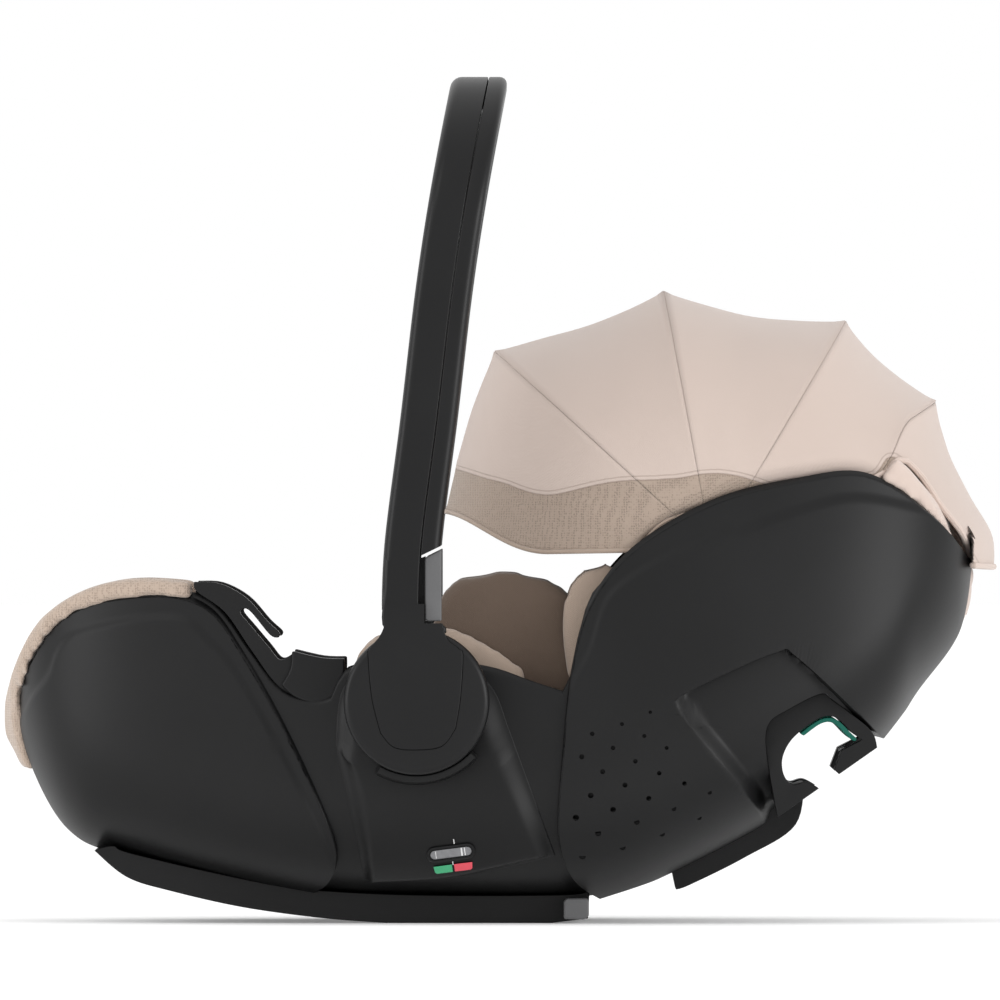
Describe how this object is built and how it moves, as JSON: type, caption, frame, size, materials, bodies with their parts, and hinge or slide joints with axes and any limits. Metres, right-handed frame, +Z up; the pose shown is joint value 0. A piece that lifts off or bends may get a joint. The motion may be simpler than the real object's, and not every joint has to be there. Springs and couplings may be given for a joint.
{
  "type": "infant car seat",
  "caption": "Infant car seat with a padded bucket, turning carry handle, folding fan canopy, sliding headrest, harness buckle and belt guides.",
  "frame": {"origin": "on the floor, under the middle of the seat's bounding box", "axes": "+Z up, +X towards the child's head end, -Y towards the child's left side, which the picture shows"},
  "size_m": [0.67, 0.44, 0.571],
  "materials": {
    "black_plastic": "satin",
    "dark_plastic": "matte",
    "grey_plastic": "satin",
    "foam": "matte",
    "tan_cloth": "matte",
    "brown_cloth": "matte",
    "canopy_cloth": "matte",
    "webbing": "matte",
    "steel": "satin",
    "teal_plastic": "satin",
    "green_plastic": "gloss",
    "red_plastic": "gloss"
  },
  "bodies": {
    "seat": {"seat_shell": "black_plastic", "inner_bucket": "dark_plastic", "foam_liner": "foam", "seat_pad": "tan_cloth", "back_pad": "tan_cloth", "foot_rim_cloth": "tan_cloth", "head_rim_cloth": "tan_cloth", "insert_cushion": "brown_cloth", "back_panel": "dark_plastic", "rocker_base": "black_plastic", "level_bezel": "dark_plastic", "level_mark_green": "green_plastic", "level_mark_red": "red_plastic", "canopy_bow_rear": "dark_plastic", "canopy_cloth_back": "canopy_cloth", "canopy_flap": "canopy_cloth", "crotch_strap": "webbing", "crotch_pad": "brown_cloth", "buckle_housing": "black_plastic", "front_cover_left": "black_plastic", "front_cover_right": "black_plastic", "rear_cover_left": "black_plastic", "rear_cover_right": "black_plastic", "belt_guide_left": "dark_plastic", "belt_guide_right": "dark_plastic", "guide_lining_left": "teal_plastic", "guide_lining_right": "teal_plastic", "belt_hook_left": "black_plastic", "belt_hook_right": "black_plastic", "hub_seat_left": "black_plastic", "hub_seat_right": "black_plastic", "pivot_axle_left": "steel", "pivot_axle_right": "steel", "heel_foot_left": "grey_plastic", "heel_foot_right": "grey_plastic", "canopy_mount_left": "dark_plastic", "canopy_mount_right": "dark_plastic", "shoulder_strap_left": "webbing", "shoulder_strap_right": "webbing", "shoulder_pad_left": "brown_cloth", "shoulder_pad_right": "brown_cloth", "buckle_tongue_left": "steel", "buckle_tongue_right": "steel"},
    "handle": {"handle_front": "black_plastic", "handle_rear": "black_plastic", "hub_cover_left": "black_plastic", "hub_cover_right": "black_plastic"},
    "release_button_left": {"release_button_left": "grey_plastic"},
    "release_button_right": {"release_button_right": "grey_plastic"},
    "canopy_back": {"canopy_bow_back": "dark_plastic", "canopy_cloth_top": "canopy_cloth"},
    "canopy_top": {"canopy_bow_top": "dark_plastic", "canopy_cloth_high": "canopy_cloth"},
    "canopy_high": {"canopy_bow_high": "dark_plastic", "canopy_cloth_front": "canopy_cloth"},
    "canopy_front": {"canopy_bow_front": "dark_plastic"},
    "headrest": {"headrest_cushion": "tan_cloth", "headrest_plate": "dark_plastic"},
    "headrest_lever": {"headrest_lever": "black_plastic"},
    "buckle_button": {"buckle_button": "red_plastic"}
  },
  "joints": [
    {"name": "handle_turn", "type": "hinge", "parent": "seat", "child": "handle", "pos_m": [-0.057, 0, 0.15], "axis": [0, 1, 0], "range_deg": [-112, 35]},
    {"name": "release_left_press", "type": "slide", "parent": "handle", "child": "release_button_left", "axis": [-1, 0, 0], "range_m": [0, 0.004], "stiffness_N_per_m": 400, "springref_m": -0.002},
    {"name": "release_right_press", "type": "slide", "parent": "handle", "child": "release_button_right", "axis": [-1, 0, 0], "range_m": [0, 0.004], "stiffness_N_per_m": 400, "springref_m": -0.002},
    {"name": "canopy_back_fold", "type": "hinge", "parent": "seat", "child": "canopy_back", "pos_m": [0.1415, 0, 0.2525], "axis": [0, 1, 0], "range_deg": [0, 15.3], "deforming": ["canopy_cloth_back"]},
    {"name": "canopy_top_fold", "type": "hinge", "parent": "canopy_back", "child": "canopy_top", "pos_m": [0.1415, 0, 0.2525], "axis": [0, 1, 0], "range_deg": [0, 34], "deforming": ["canopy_cloth_top"]},
    {"name": "canopy_high_fold", "type": "hinge", "parent": "canopy_top", "child": "canopy_high", "pos_m": [0.1415, 0, 0.2525], "axis": [0, 1, 0], "range_deg": [0, 30.2], "deforming": ["canopy_cloth_high"]},
    {"name": "canopy_front_fold", "type": "hinge", "parent": "canopy_high", "child": "canopy_front", "pos_m": [0.1415, 0, 0.2525], "axis": [0, 1, 0], "range_deg": [0, 26.5], "deforming": ["canopy_cloth_front"]},
    {"name": "headrest_slide", "type": "slide", "parent": "seat", "child": "headrest", "axis": [0.8799, 0, 0.4752], "range_m": [0, 0.04]},
    {"name": "headrest_lever_pull", "type": "slide", "parent": "headrest", "child": "headrest_lever", "axis": [0.8799, 0, 0.4752], "range_m": [0, 0.004], "stiffness_N_per_m": 300, "springref_m": -0.002},
    {"name": "buckle_button_press", "type": "slide", "parent": "seat", "child": "buckle_button", "axis": [0, 0, -1], "range_m": [0, 0.003], "stiffness_N_per_m": 400, "springref_m": -0.002}
  ],
  "couplings": [
    {"joint": "canopy_top_fold", "follows": "canopy_back_fold", "ratio": 2.222},
    {"joint": "canopy_high_fold", "follows": "canopy_back_fold", "ratio": 1.9735},
    {"joint": "canopy_front_fold", "follows": "canopy_back_fold", "ratio": 1.7315}
  ]
}
